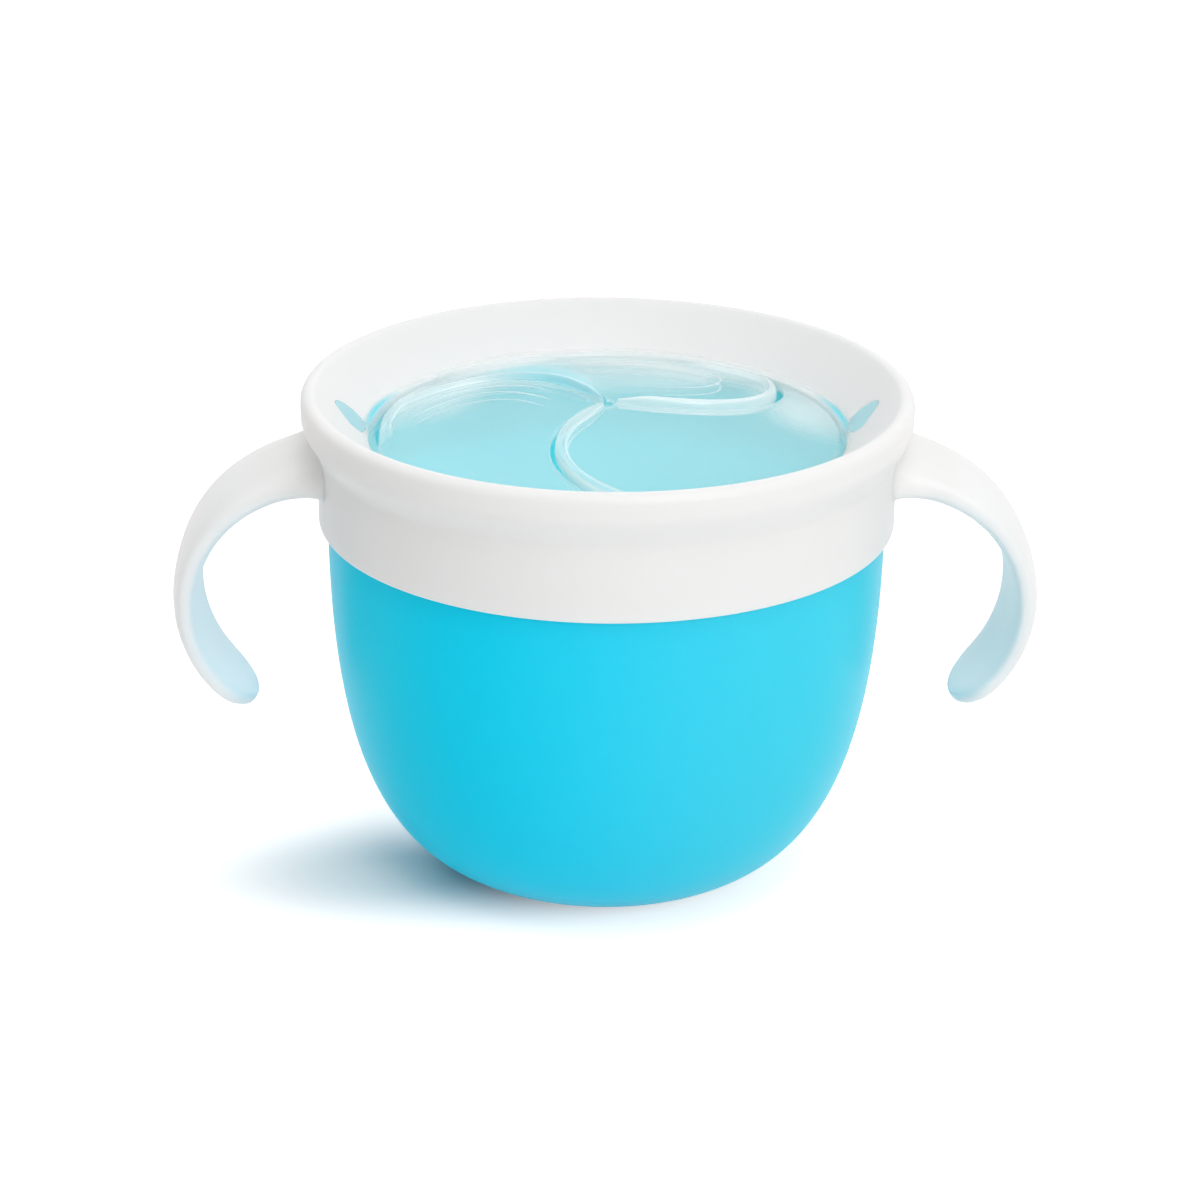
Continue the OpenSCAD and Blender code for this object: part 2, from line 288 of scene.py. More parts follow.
def rounded(corners, steps=6):
    """Points of an open outline whose corners (x, y, radius) are rounded by arcs."""
    points = []
    for k, (x, y, radius) in enumerate(corners):
        here = Vector((x, y))
        if radius == 0 or k in (0, len(corners) - 1):
            points.append(here)
            continue
        back = (Vector(corners[k - 1][:2]) - here).normalized()
        ahead = (Vector(corners[k + 1][:2]) - here).normalized()
        half = back.angle(ahead) / 2
        reach = radius / math.tan(half)
        middle = here + (back + ahead).normalized() * (radius / math.sin(half))
        start = here + back * reach - middle
        end = here + ahead * reach - middle
        turn = start.angle_signed(end)
        for i in range(steps + 1):
            a = -turn * i / steps
            arm = Vector((
                start.x * math.cos(a) - start.y * math.sin(a),
                start.x * math.sin(a) + start.y * math.cos(a),
            ))
            points.append(middle + arm)
    return points


def new_object(name, data):
    piece = bpy.data.objects.new(name, data)
    bpy.context.scene.collection.objects.link(piece)
    return piece


def mesh_object(name, vertices, faces, finish=None, marks=None):
    """A piece made of vertices and faces, with its material and its named values for each vertex."""
    mesh = bpy.data.meshes.new(name)
    mesh.from_pydata([tuple(v) for v in vertices], [], faces)
    if finish is not None:
        mesh.materials.append(finish)
    for mark, values in (marks or {}).items():
        mesh.attributes.new(mark, "FLOAT", "POINT").data.foreach_set("value", values)
    close_and_smooth(mesh)
    return new_object(name, mesh)


def close_and_smooth(mesh):
    """Merges doubles, turns the faces outwards and shades all but sharp edges smooth."""
    shape = bmesh.new()
    shape.from_mesh(mesh)
    bmesh.ops.remove_doubles(shape, verts=shape.verts, dist=SAME_PLACE)
    bmesh.ops.recalc_face_normals(shape, faces=shape.faces)
    if shape.calc_volume(signed=True) < 0:
        bmesh.ops.reverse_faces(shape, faces=shape.faces)
    shape.to_mesh(mesh)
    shape.free()
    mesh.shade_smooth()
    mesh.set_sharp_from_angle(angle=SHARP)


# ---- Turned pieces: a Geometry Nodes tree revolves a profile about +Z ----

def add_input(tree, name, kind, default=None):
    item = tree.interface.new_socket(name=name, in_out="INPUT", socket_type=kind)
    if default is not None:
        item.default_value = default
    return item


def math_node(tree, operation, a, b=None):
    node = tree.nodes.new("ShaderNodeMath")
    node.operation = operation
    for socket, value in zip(node.inputs, (a, b)):
        if isinstance(value, bpy.types.NodeSocket):
            tree.links.new(value, socket)
        elif value is not None:
            socket.default_value = value
    return node.outputs[0]


def turning_tree():
    """Tree that turns a profile of points (x = radius, z = height) into a closed shell."""
    tree = bpy.data.node_groups.new("turned_shell", "GeometryNodeTree")
    add_input(tree, "Profile", "NodeSocketGeometry")
    add_input(tree, "Segments", "NodeSocketInt", 192)
    add_input(tree, "Material", "NodeSocketMaterial")
    tree.interface.new_socket(name="Shell", in_out="OUTPUT", socket_type="NodeSocketGeometry")
    nodes, links = tree.nodes, tree.links
    given = nodes.new("NodeGroupInput")
    result = nodes.new("NodeGroupOutput")

    size = nodes.new("GeometryNodeAttributeDomainSize")
    links.new(given.outputs["Profile"], size.inputs["Geometry"])
    grid = nodes.new("GeometryNodeMeshGrid")
    around = math_node(tree, "ADD", given.outputs["Segments"], 1)
    links.new(size.outputs["Point Count"], grid.inputs["Vertices X"])
    links.new(around, grid.inputs["Vertices Y"])

    index = nodes.new("GeometryNodeInputIndex").outputs[0]
    centred = math_node(tree, "ADD", index, 0.5)
    line = math_node(tree, "FLOOR", math_node(tree, "DIVIDE", centred, around))
    step = math_node(tree, "SUBTRACT", index, math_node(tree, "MULTIPLY", line, around))
    whole_turns = math_node(tree, "MULTIPLY", step, 2 * math.pi)
    turn = math_node(tree, "DIVIDE", whole_turns, given.outputs["Segments"])

    sample = nodes.new("GeometryNodeSampleIndex")
    sample.data_type = "FLOAT_VECTOR"
    links.new(given.outputs["Profile"], sample.inputs["Geometry"])
    links.new(nodes.new("GeometryNodeInputPosition").outputs[0], sample.inputs["Value"])
    links.new(line, sample.inputs["Index"])
    split = nodes.new("ShaderNodeSeparateXYZ")
    links.new(sample.outputs[0], split.inputs[0])
    place = nodes.new("ShaderNodeCombineXYZ")
    radius = split.outputs["X"]
    links.new(math_node(tree, "MULTIPLY", radius, math_node(tree, "COSINE", turn)), place.inputs["X"])
    links.new(math_node(tree, "MULTIPLY", radius, math_node(tree, "SINE", turn)), place.inputs["Y"])
    links.new(split.outputs["Z"], place.inputs["Z"])

    move = nodes.new("GeometryNodeSetPosition")
    links.new(grid.outputs["Mesh"], move.inputs["Geometry"])
    links.new(place.outputs[0], move.inputs["Position"])
    merge = nodes.new("GeometryNodeMergeByDistance")
    merge.inputs["Distance"].default_value = SAME_PLACE
    links.new(move.outputs[0], merge.inputs["Geometry"])
    real = nodes.new("GeometryNodeRealizeInstances")
    links.new(merge.outputs[0], real.inputs[0])
    finish = nodes.new("GeometryNodeSetMaterial")
    links.new(real.outputs[0], finish.inputs["Geometry"])
    links.new(given.outputs["Material"], finish.inputs["Material"])
    links.new(finish.outputs[0], result.inputs[0])
    return tree


def turned(name, profile, finish, segments):
    """Revolves a profile of (radius, height) points with the turning tree, as a plain mesh."""
    tree = bpy.data.node_groups.get("turned_shell") or turning_tree()
    line = bpy.data.meshes.new(name + "_profile")
    line.from_pydata([(p[0], 0, p[1]) for p in profile], [], [])
    source = new_object(name + "_profile", line)
    modifier = source.modifiers.new("turn", "NODES")
    modifier.node_group = tree
    sockets = {item.name: item.identifier for item in tree.interface.items_tree if item.in_out == "INPUT"}
    modifier[sockets["Segments"]] = segments
    modifier[sockets["Material"]] = finish
    evaluated = source.evaluated_get(bpy.context.evaluated_depsgraph_get())
    mesh = bpy.data.meshes.new_from_object(evaluated)
    bpy.data.objects.remove(source)
    mesh.name = name
    mesh.materials.clear()
    mesh.materials.append(finish)
    for face in mesh.polygons:
        face.material_index = 0
    close_and_smooth(mesh)
    return new_object(name, mesh)


# ---- Materials ----

def new_material(name):
    """New node material, with its tree and its Principled shader."""
    made = bpy.data.materials.new(name)
    made.use_nodes = True
    tree = made.node_tree
    return made, tree, tree.nodes["Principled BSDF"]


def object_place(tree):
    return tree.nodes.new("ShaderNodeTexCoord").outputs["Object"]


def place_across(tree):
    """Place from left to right, counted from the axis."""
    apart = tree.nodes.new("ShaderNodeSeparateXYZ")
    tree.links.new(object_place(tree), apart.inputs[0])
    return apart.outputs["X"]


def noise(tree, scale, detail=2.0):
    texture = tree.nodes.new("ShaderNodeTexNoise")
    texture.inputs["Scale"].default_value = scale
    texture.inputs["Detail"].default_value = detail
    tree.links.new(object_place(tree), texture.inputs["Vector"])
    return texture.outputs["Fac"]


def ramp(tree, value, stops):
    node = tree.nodes.new("ShaderNodeValToRGB")
    tree.links.new(value, node.inputs["Fac"])
    elements = node.color_ramp.elements
    for element, (position, colour) in zip(elements, stops):
        element.position = position
        element.color = (*colour, 1)
    return node.outputs["Color"]


def spread(tree, value, low, high):
    node = tree.nodes.new("ShaderNodeMapRange")
    tree.links.new(value, node.inputs["Value"])
    node.inputs["To Min"].default_value = low
    node.inputs["To Max"].default_value = high
    return node.outputs["Result"]


def faded(tree, value, start, end, low=0.0, high=1.0):
    """Goes smoothly from low to high as the value goes from start to end."""
    node = tree.nodes.new("ShaderNodeMapRange")
    node.interpolation_type = "SMOOTHSTEP"
    for socket, number in zip(("From Min", "From Max", "To Min", "To Max"), (start, end, low, high)):
        node.inputs[socket].default_value = number
    tree.links.new(value, node.inputs["Value"])
    return node.outputs["Result"]


def bump(tree, shader, height, strength, distance):
    node = tree.nodes.new("ShaderNodeBump")
    node.inputs["Strength"].default_value = strength
    node.inputs["Distance"].default_value = distance
    tree.links.new(height, node.inputs["Height"])
    tree.links.new(node.outputs["Normal"], shader.inputs["Normal"])


def attribute(tree, name):
    node = tree.nodes.new("ShaderNodeAttribute")
    node.attribute_name = name
    return node.outputs["Fac"]


def socket_called(sockets, identifier):
    return next(socket for socket in sockets if socket.identifier == identifier)


def blue_plastic(name, left, right, painted_glow=0.0):
    """Translucent blue polypropylene: soft cloudy colour, paler towards +X as painted sheen on the lit
    side, satin gloss, light that comes through it; any glow is painted light.
    """
    made, tree, shader = new_material(name)
    # Paler towards +X: painted sheen on the lit side, with random clouds over it.
    across = faded(tree, place_across(tree), -CUP_SHEEN_FADE, CUP_SHEEN_FADE, 0.0, 1 - CLOUD_SHARE)
    clouds = math_node(tree, "MULTIPLY", noise(tree, 18, 3), CLOUD_SHARE)
    sheen_and_clouds = math_node(tree, "ADD", across, clouds)
    tree.links.new(ramp(tree, sheen_and_clouds, [(0.0, left), (1.0, right)]), shader.inputs["Base Color"])
    tree.links.new(spread(tree, noise(tree, 60), 0.34, 0.42), shader.inputs["Roughness"])
    shader.inputs["IOR"].default_value = 1.3
    shader.inputs["Specular IOR Level"].default_value = 0.15
    shader.inputs["Subsurface Weight"].default_value = 0.6
    shader.inputs["Subsurface Radius"].default_value = (0.6, 1.0, 1.1)
    shader.inputs["Subsurface Scale"].default_value = 2 * MM
    # Emission is painted light: the inside glows though it is no lamp.
    shader.inputs["Emission Color"].default_value = (0.02, 0.85, 0.9, 1)
    shader.inputs["Emission Strength"].default_value = painted_glow
    bump(tree, shader, noise(tree, 900), 0.05, 0.1 * MM)
    return made


def lid_plastic():
    """White satin polypropylene with a fine grain; light runs further inside the handles."""
    made, tree, shader = new_material("lid_white_satin")
    tone = ramp(tree, noise(tree, 25, 3), [(0.3, (0.86, 0.86, 0.855)), (0.7, (0.88, 0.88, 0.875))])
    tree.links.new(tone, shader.inputs["Base Color"])
    tree.links.new(spread(tree, noise(tree, 80), 0.42, 0.5), shader.inputs["Roughness"])
    shader.inputs["IOR"].default_value = 1.49
    shader.inputs["Subsurface Weight"].default_value = 0.6
    shader.inputs["Subsurface Radius"].default_value = (1.0, 1.0, 1.0)
    outwards = math_node(tree, "ABSOLUTE", place_across(tree))
    tree.links.new(faded(tree, outwards, *HANDLE_FADE, *LID_SCATTER), shader.inputs["Subsurface Scale"])
    bump(tree, shader, noise(tree, 1200), 0.06, 0.1 * MM)
    return made


def clear_soft():
    """Clear soft elastomer: its mesh says where it is milky or carries painted highlights and reflections,
    and where the cup's blue is painted on as a reflection.
    """
    made, tree, shader = new_material("flap_clear_soft")
    milky = ramp(tree, noise(tree, 30), [(0.3, (0.92, 0.985, 0.99)), (0.7, (0.95, 0.995, 1.0))])
    tint = tree.nodes.new("ShaderNodeMix")
    tint.data_type = "RGBA"
    # The cup's blue is painted on where the mesh marks it, as a reflection seen in the clear elastomer.
    tree.links.new(attribute(tree, "depth"), tint.inputs["Factor"])
    tree.links.new(milky, socket_called(tint.inputs, "A_Color"))
    socket_called(tint.inputs, "B_Color").default_value = (0.0, 0.7, 0.84, 1)
    tinted = socket_called(tint.outputs, "Result_Color")
    tree.links.new(tinted, shader.inputs["Base Color"])
    # A faint glow in the same colour is painted light, for light that comes through the milky elastomer.
    tree.links.new(tinted, shader.inputs["Emission Color"])
    shader.inputs["Emission Strength"].default_value = 0.05
    tree.links.new(attribute(tree, "haze_and_sheen"), shader.inputs["Alpha"])
    tree.links.new(spread(tree, noise(tree, 90), 0.06, 0.12), shader.inputs["Roughness"])
    shader.inputs["IOR"].default_value = 1.45
    shader.inputs["Specular IOR Level"].default_value = 1.0
    bump(tree, shader, noise(tree, 150), 0.03, 0.03 * MM)
    return made


CUP_MATERIAL = blue_plastic("cup_blue", *OUTSIDE_BLUES_TO_SHEEN)
# A paler copy of the cup blue that glows: painted light on the inside.
CUP_INSIDE_PAINTED_LIGHT_MATERIAL = blue_plastic("cup_blue_inside_painted_light", *INSIDE_BLUES_PAINTED_LIGHT, painted_glow=0.1)
LID_MATERIAL = lid_plastic()
CLEAR_MATERIAL = clear_soft()


# ---- Cup ----

def bowl_wall(radius, depth, end_z, top_z, steps=56):
    """Points of a bowl's wall below the height top_z, from its top down to the height end_z."""
    last = math.asin((BELLY_Z - end_z) / depth)
    points = []
    for i in range(steps + 1):
        w = math.sin(last * i / steps)
        z = BELLY_Z - depth * w
        if z < top_z:
            points.append((radius * max(0, 1 - w ** TURN_POWER) ** (1 / BELLY_POWER), z, 0))
    return points


def cup_profile():
    """The cup's outline: up its outside, over the shoulder and the neck, and down its inside."""
    neck_r = CUP_R - NECK_STEP
    neck_in = neck_r - CUP_WALL
    outside = bowl_wall(CUP_R, BELLY_Z + FOOT_CUT, 0, SHOULDER_Z - SHOULDER_UNDER)
    floor_end, wall_end = CUP_FLOOR + BOWL_FLOOR_END, SHOULDER_Z - BOWL_INSIDE_END
    inside = bowl_wall(CUP_R - CUP_WALL, BELLY_Z - CUP_FLOOR, floor_end, wall_end)
    outside.reverse()
    outside[0] = (outside[0][0], 0, FOOT_ROUND)
    corners = [(0, 0, 0)] + outside + [
        (CUP_R, SHOULDER_Z, SHOULDER_ROUND),
        (neck_r, SHOULDER_Z, NECK_FILLET),
        (neck_r, SNAP_Z - SNAP_HALF, 0),
        (neck_r + SNAP_OUT, SNAP_Z - SNAP_FLAT, 0),
        (neck_r + SNAP_OUT, SNAP_Z + SNAP_FLAT, 0),
        (neck_r, SNAP_Z + SNAP_HALF, 0),
        (neck_r, NECK_TOP, NECK_ROUND),
        (neck_in, NECK_TOP, NECK_ROUND),
        (neck_in, SHOULDER_Z + NECK_INSIDE_END, 0),
    ] + inside + [(0, CUP_FLOOR, 0)]
    return rounded(corners)


def make_cup():
    cup = turned("snack_cup", cup_profile(), CUP_MATERIAL, segments=224)
    # Inside faces take the paler, glowing copy: painted light.
    cup.data.materials.append(CUP_INSIDE_PAINTED_LIGHT_MATERIAL)
    for face in cup.data.polygons:
        outward = Vector((face.center.x, face.center.y, 0)).dot(face.normal) > 0
        is_floor = face.normal.z > LEVEL_NORMAL and face.center.z < SHOULDER_Z
        if is_floor or (not outward and face.center.z > CUP_FLOOR and face.normal.z > -LEVEL_NORMAL):
            face.material_index = 1
    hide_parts("cup")
    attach(cup, "cup")


# ---- Lid collar ----

def funnel_top(radius):
    return LIP_Z + (radius - FUNNEL_R) * FUNNEL_SLOPE


def funnel_under(radius):
    return funnel_top(radius) - FUNNEL_WALL * math.sqrt(1 + FUNNEL_SLOPE ** 2)


def collar_profile():
    """The collar's outline: up its inside, out over the funnel and the rim, down the cove."""
    crest_turns = [i / CREST_STEPS * (math.pi / 2 + FUNNEL_ANGLE) for i in range(CREST_STEPS, -1, -1)]
    crest = [(CREST_R + RIM_ROUND * math.cos(a), CREST_Z + RIM_ROUND * math.sin(a), 0) for a in crest_turns]
    cove_top = CREST_Z - RIM_BAND
    cove = [(COLLAR_R + RIM_OUT * (1 + math.cos(math.pi * t)) / 2, cove_top - COVE_H * t, 0)
            for t in (i / COVE_STEPS for i in range(COVE_STEPS + 1))]
    root_r = COLLAR_IN_R - FUNNEL_ROOT
    corners = [
        (COLLAR_IN_R + COLLAR_FOOT, SHOULDER_Z, 0),
        (COLLAR_IN_R, SHOULDER_Z, FINE_ROUND),
        (COLLAR_IN_R, SNAP_Z - GROOVE_HALF, 0),
        (COLLAR_IN_R + GROOVE_DEPTH, SNAP_Z - GROOVE_FLAT, 0),
        (COLLAR_IN_R + GROOVE_DEPTH, SNAP_Z + GROOVE_FLAT, 0),
        (COLLAR_IN_R, SNAP_Z + GROOVE_HALF, 0),
        (COLLAR_IN_R, funnel_under(root_r) - FUNNEL_DROP, FINE_ROUND),
        (root_r, funnel_under(root_r), FINE_ROUND),
        (FUNNEL_R, funnel_under(FUNNEL_R), LIP_ROUND),
        (FUNNEL_R, LIP_Z, LIP_ROUND),
    ] + crest + cove + [
        (COLLAR_R, SHOULDER_Z, COLLAR_ROUND),
        (COLLAR_IN_R + COLLAR_FOOT, SHOULDER_Z, 0),
    ]
    return rounded(corners)


def window_outline(side, grow=1.0, steps=20):
    """A key window's outline seen from above: a round head and a narrowing tail."""
    tail_y = WINDOW_R + WINDOW_TAIL_R - WINDOW_LEN
    lean_in = math.asin((WINDOW_R - WINDOW_TAIL_R) / -tail_y)
    outline = []
    for i in range(steps + 1):
        a = -lean_in + (math.pi + 2 * lean_in) * i / steps
        outline.append((grow * WINDOW_R * math.cos(a), grow * WINDOW_R * math.sin(a)))
    for i in range(steps + 1):
        a = math.pi + lean_in + (math.pi - 2 * lean_in) * i / steps
        outline.append((grow * WINDOW_TAIL_R * math.cos(a), tail_y + grow * WINDOW_TAIL_R * math.sin(a)))
    leaned = Matrix.Rotation(-WINDOW_LEAN, 4, "Z")
    place = Matrix.Translation((FUNNEL_R + WINDOW_OUT, WINDOW_BACK, 0)) @ leaned
    return [(side * p.x, p.y) for p in (place @ Vector((x, y, 0)) for x, y in outline)]


def prism(outline, low, high):
    """Vertices and faces of an upright prism whose ends may follow a slope: low and high give z."""
    count = len(outline)
    vertices = [(x, y, end(math.hypot(x, y))) for end in (low, high) for x, y in outline]
    faces = [tuple(range(count)), tuple(range(2 * count - 1, count - 1, -1))]
    faces += [(i, (i + 1) % count, count + (i + 1) % count, count + i) for i in range(count)]
    return vertices, faces


def window_cutter(side):
    low, high = LIP_Z - CUTTER_HALF, LIP_Z + CUTTER_HALF
    vertices, faces = prism(window_outline(side), lambda r: low, lambda r: high)
    return mesh_object("window_cutter", vertices, faces)


def cut_away(piece, cutter):
    """Cuts one closed mesh out of another and deletes the cutter."""
    modifier = piece.modifiers.new("cut", "BOOLEAN")
    modifier.operation = "DIFFERENCE"
    modifier.solver = "EXACT"
    modifier.object = cutter
    evaluated = piece.evaluated_get(bpy.context.evaluated_depsgraph_get())
    mesh = bpy.data.meshes.new_from_object(evaluated)
    piece.modifiers.remove(modifier)
    piece.data = mesh
    bpy.data.objects.remove(cutter)
    mesh.shade_smooth()
    mesh.set_sharp_from_angle(angle=SHARP)


def make_collar():
    collar = turned("lid_collar_shell", collar_profile(), LID_MATERIAL, segments=256)
    for side in (1, -1):
        cut_away(collar, window_cutter(side))
    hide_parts("lid_collar")
    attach(collar, "lid")


# ---- Hook handles ----

def along(values, t):
    """Smooth run through three values, at the start, the middle and the end."""
    root, mid, tip = values
    return root * (1 - t) * (1 - 2 * t) + mid * 4 * t * (1 - t) + tip * t * (2 * t - 1)


def flattened(a, power):
    """Point at an angle of an oval that gets squarer with its power."""
    across = math.copysign(abs(math.cos(a)) ** (2 / power), math.cos(a))
    out = math.copysign(abs(math.sin(a)) ** (2 / power), math.sin(a))
    return across, out


def root_flare(fillet, distance):
    """How far a fillet of that reach and height stands out, that far from the collar."""
    reach, height = fillet
    run = max(0.0, 1 - distance / reach)
    return height * (1 - math.sqrt(1 - run ** 2))


def hook_ring(t):
    """One ring of the hook: a band with a rounded back and a flatter, faintly hollow front."""
    distance = HANDLE_ARC_R * HANDLE_TURN * t
    turn = HANDLE_TURN * t
    near_tip = max(0.0, (t - 1 + HANDLE_TIP_SHARE) / HANDLE_TIP_SHARE)
    share = math.sqrt(max(0.0, 1 - near_tip ** 2))
    half_w = along(HANDLE_WIDTHS, t) / 2 * share + root_flare(ROOT_FLARE_SIDE, distance)
    half_t = along(HANDLE_THICKNESSES, t) / 2 * math.sqrt(share)
    hug = max(0.0, 1 - distance / HUG_REACH)
    hollow_depth = HANDLE_HOLLOW * share * min(1.0, t / HOLLOW_FULL)
    sink = ROOT_SINK if t == 0 else 0
    ring = []
    for i in range(HOOK_SIDES):
        a = 2 * math.pi * i / HOOK_SIDES
        back = math.sin(a) > 0
        across, out = flattened(a, BACK_POWER if back else FRONT_POWER)
        hollow = 0 if back else hollow_depth * max(0.0, 1 - across ** 2) ** 2
        flare = root_flare(ROOT_FLARE_TOP if back else ROOT_FLARE_UNDER, distance)
        y = half_w * across
        r = HANDLE_ARC_R + (half_t + flare) * out + hollow
        sag = COLLAR_R - math.sqrt(COLLAR_R ** 2 - y ** 2)
        x = COLLAR_R - sag * hug ** HUG_POWER + r * math.sin(turn)
        ring.append((x - sink, y, HANDLE_Z - HANDLE_ARC_R + r * math.cos(turn)))
    return ring


def ring_places():
    """Shares of the hook's length where its rings stand, closer together at the root and the tip."""
    fillet_end = ROOT_FLARE_SIDE[0] / (HANDLE_ARC_R * HANDLE_TURN)
    quarter = math.pi / 2
    fillet = [fillet_end * (1 - math.cos(quarter * i / FILLET_RINGS)) for i in range(FILLET_RINGS + 1)]
    body_end = 1 - HANDLE_TIP_SHARE
    body = [fillet[-1] + (body_end - fillet[-1]) * i / BODY_RINGS for i in range(1, BODY_RINGS + 1)]
    tip = [body_end + HANDLE_TIP_SHARE * math.sin(quarter * i / TIP_RINGS) for i in range(1, TIP_RINGS + 1)]
    return fillet + body + tip


def make_hook(name, node, side):
    rings = [hook_ring(t) for t in ring_places()]
    vertices = [(side * x, y, z) for ring in rings for x, y, z in ring]
    faces = []
    for k in range(len(rings) - 1):
        here, ahead = k * HOOK_SIDES, (k + 1) * HOOK_SIDES
        for i in range(HOOK_SIDES):
            beside = (i + 1) % HOOK_SIDES
            faces.append((here + i, here + beside, ahead + beside, ahead + i))
    faces.append(tuple(range(HOOK_SIDES)))
    hook = mesh_object(name, vertices, faces, LID_MATERIAL)
    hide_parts(node)
    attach(hook, "lid")


# ---- Clear insert ----

def ring_profile():
    """The ring's outline: a thin skin over the funnel's lip and a flange under it."""
    skin_r = FUNNEL_R + SKIN_REACH
    flange_r = FUNNEL_R + FLANGE_REACH
    grip_r = FUNNEL_R - RING_GAP
    flange_z = funnel_under(flange_r) - RING_GAP
    lip_under = funnel_under(FUNNEL_R) - RING_GAP
    corners = [
        (FLAP_R, LIP_Z - FLAP_T / 2, 0),
        (FLAP_R, LIP_Z, SOFT_ROUND),
        (FLAP_R + RING_LEAN, LIP_Z + RING_SKIN, SOFT_ROUND),
        (FUNNEL_R + RING_OVER, LIP_Z + RING_SKIN + RING_GAP, LIP_ROUND),
        (skin_r, funnel_top(skin_r) + RING_GAP, 0),
        (grip_r, LIP_Z + RING_GAP, FINE_ROUND),
        (grip_r, lip_under, FINE_ROUND),
        (flange_r, flange_z, FINE_ROUND),
        (flange_r, flange_z - FLANGE_T, FINE_ROUND),
        (FUNNEL_R, lip_under - FLANGE_T, LIP_ROUND),
        (FLAP_R, LIP_Z - FLAP_T, SOFT_ROUND),
        (FLAP_R, LIP_Z - FLAP_T / 2, 0),
    ]
    return rounded(corners, steps=4)


def pads(x, y):
    """Painted reflections that the insert's pads add, white haze for the backdrop and blue for the cup,
    fading out sideways and towards the hub.
    """
    share = math.hypot(x, y) / FLAP_R
    haze_and_sheen = depth = 0
    for middle, half, start, milky, blue in SHEEN_PADS:
        outward = 1 - bell(share - start, PAD_FADE) if share > start else 0
        strength = bell(angle_off(x, y, middle), 2 * half) ** PAD_POWER * outward
        haze_and_sheen = max(haze_and_sheen, milky * strength)
        depth = max(depth, blue * strength * bell(max(0.0, share - PAD_BLUE_END), PAD_FADE))
    return haze_and_sheen, depth


def ring_marks(x, y, z):
    """Haze and painted cup blue of the ring: clear where it thins out over the funnel, with two thin
    painted reflections of the cup's blue at its left and right.
    """
    radius = math.hypot(x, y)
    thinning = share_of((radius - FUNNEL_R) / SKIN_REACH)
    haze_and_sheen, depth = pads(x, y)
    haze_and_sheen = (RING_HAZE + haze_and_sheen) * (1 - thinning)
    blue_glint = 0
    if z > LIP_Z - BLUE_GLINT_LOW:
        nearest = min(angle_off(x, y, middle) for middle in BLUE_GLINT_ANGLES)
        blue_glint = bell(nearest, 2 * BLUE_GLINT_HALF) ** BLUE_GLINT_POWER
        blue_glint *= bell(radius - FUNNEL_R - BLUE_GLINT_OUT, BLUE_GLINT_W)
    return max(haze_and_sheen, BLUE_GLINT_HAZE * blue_glint), max(depth, blue_glint)


def add_plug(shape, layers, side):
    """Adds the clear plug of a key window to the ring."""
    vertices, faces = prism(
        window_outline(side, PLUG_FIT),
        lambda r: funnel_under(r) + PLUG_RISE,
        lambda r: funnel_top(r) - PLUG_SUNK,
    )
    added = [shape.verts.new(v) for v in vertices]
    for vertex in added:
        vertex[layers[0]], vertex[layers[1]] = PLUG_MARKS
    new_faces = [shape.faces.new([added[i] for i in face]) for face in faces]
    bmesh.ops.recalc_face_normals(shape, faces=new_faces)


def make_ring():
    ring = turned("clear_ring", ring_profile(), CLEAR_MATERIAL, segments=192)
    shape = bmesh.new()
    shape.from_mesh(ring.data)
    layers = [shape.verts.layers.float.new(mark) for mark in ("haze_and_sheen", "depth")]
    for vertex in shape.verts:
        for layer, value in zip(layers, ring_marks(*vertex.co)):
            vertex[layer] = value
    for side in (1, -1):
        add_plug(shape, layers, side)
    shape.to_mesh(ring.data)
    shape.free()
    ring.data.set_sharp_from_angle(angle=SHARP)
    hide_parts("flap_ring")
    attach(ring, "lid")


def slit_angle(p):
    return SLIT_TURN * p ** SLIT_POWER


def rib_rise(p, free):
    """Height that the rib along a free edge adds, that many metres inside the edge."""
    border = share_of((RIB_W - free) / RIB_BORDER)
    return RIB_H * min(1.0, p / RIB_TAPER) * border * border * (3 - 2 * border)


def ridge_share(p, distance, place):
    """How far a low ridge rises at a point, from 0 to 1; it dies out towards the hub and the rim."""
    from_hub = share_of((p - RIDGE_START) / RIDGE_FADE_IN)
    to_rim = share_of((RIDGE_END - p) / RIDGE_FADE_OUT)
    return bell(distance - place, RIDGE_W) * min(from_hub, to_rim)


def flap_faces(p, distance, free, follow, ridges):
    """Heights of the upper and lower face at share p of the radius, by the distances to the edges."""
    middle = DOME_Z + math.sqrt((DOME_R - FLAP_T / 2) ** 2 - (FLAP_R * p) ** 2)
    rib = rib_rise(p, free)
    rise = rib + RIDGE_H * sum(ridge_share(p, distance, place) for place in ridges)
    ease = min(1.0, min(free, follow) / EDGE_ROUND)
    round_off = math.sqrt(1 - (1 - ease) ** 2)
    high = middle + (FLAP_T / 2 + rise) * round_off
    low = middle - (FLAP_T / 2 + RIB_UNDER * rib) * round_off
    return high, low


